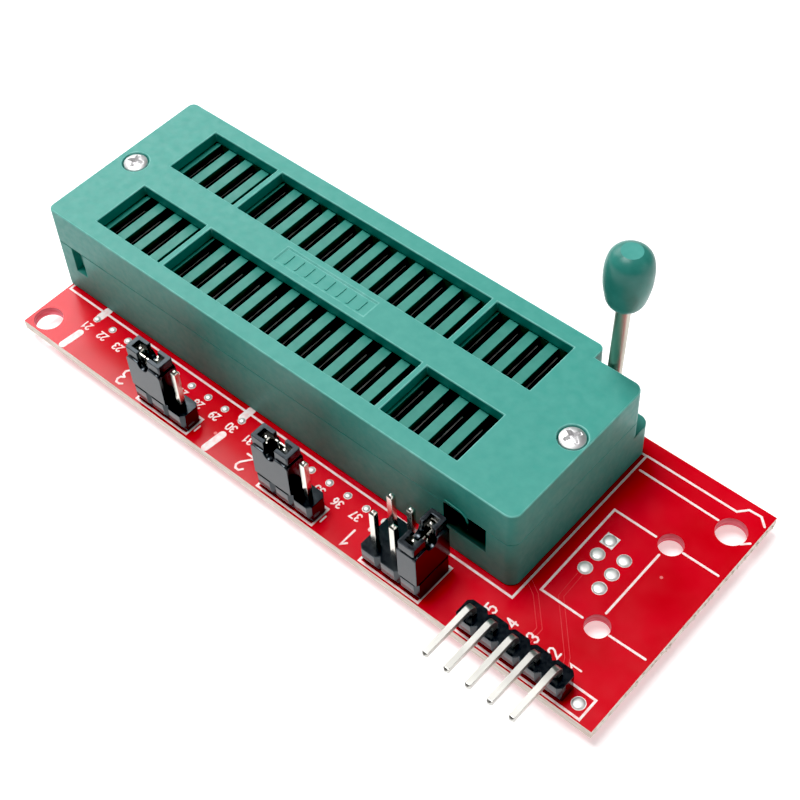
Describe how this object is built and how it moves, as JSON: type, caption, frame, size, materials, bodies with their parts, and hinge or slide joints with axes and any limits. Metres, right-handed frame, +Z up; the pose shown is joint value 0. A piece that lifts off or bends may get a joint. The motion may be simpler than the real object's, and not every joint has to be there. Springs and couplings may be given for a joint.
{
  "type": "chip programming adapter board",
  "caption": "Red circuit board with a long green lever-locked chip socket, capped jumper headers, right-angle pins and an empty jack footprint.",
  "frame": {"origin": "middle of the bounding box in X and Y, at the level of the soldered tails it stands on", "axes": "+X along the board from the two jumper headers at its plain end to the jack footprint; +Y from the pin headers to the lever's side of the socket; +Z up"},
  "size_m": [0.08, 0.0364, 0.0301],
  "materials": {
    "red_laminate": "glossy solder mask over glass laminate",
    "tinned_copper": "tin",
    "solder": "bright solder",
    "socket_green": "moulded, satin",
    "slider_green": "moulded, satin",
    "contact_metal": "tin plate",
    "screw_steel": "nickel plate",
    "lever_steel": "nickel plate",
    "knob_green": "moulded, satin",
    "header_black": "moulded",
    "pin_metal": "tin plate",
    "cap_black": "moulded",
    "clip_metal": "tin plate"
  },
  "bodies": {
    "board": {"board_laminate": "red_laminate", "board_pads": "tinned_copper", "solder_joints": "solder", "socket_base": "socket_green", "socket_cover": "socket_green", "contacts_front": "contact_metal", "contacts_rear": "contact_metal", "cover_screws": "screw_steel", "j1_housing": "header_black", "j1_pins": "pin_metal", "j2_housing": "header_black", "j2_pins": "pin_metal", "j3_housing": "header_black", "j3_pins": "pin_metal", "icsp_housing": "header_black", "icsp_pins": "pin_metal"},
    "slider": {"socket_slider": "slider_green"},
    "lever": {"lever_rod": "lever_steel", "lever_knob": "knob_green"},
    "j1_cap": {"j1_cap_shell": "cap_black", "j1_cap_clip": "clip_metal"},
    "j2_cap": {"j2_cap_shell": "cap_black", "j2_cap_clip": "clip_metal"},
    "j3_cap": {"j3_cap_shell": "cap_black", "j3_cap_clip": "clip_metal"}
  },
  "joints": [
    {"name": "lever_hinge", "type": "hinge", "parent": "board", "child": "lever", "pos_m": [0.02053, 0.00551, 0.0083], "axis": [0, 1, 0], "range_deg": [0, 88]},
    {"name": "slider_shift", "type": "slide", "parent": "board", "child": "slider", "axis": [1, 0, 0], "range_m": [-0.00091, 0]},
    {"name": "j1_cap_lift", "type": "slide", "parent": "board", "child": "j1_cap", "axis": [0, 0, 1], "range_m": [0, 0.0062]},
    {"name": "j2_cap_lift", "type": "slide", "parent": "board", "child": "j2_cap", "axis": [0, 0, 1], "range_m": [0, 0.0062]},
    {"name": "j3_cap_lift", "type": "slide", "parent": "board", "child": "j3_cap", "axis": [0, 0, 1], "range_m": [0, 0.0062]}
  ],
  "couplings": [
    {"joint": "slider_shift", "follows": "lever_hinge", "m_per_rad": -0.000573}
  ]
}
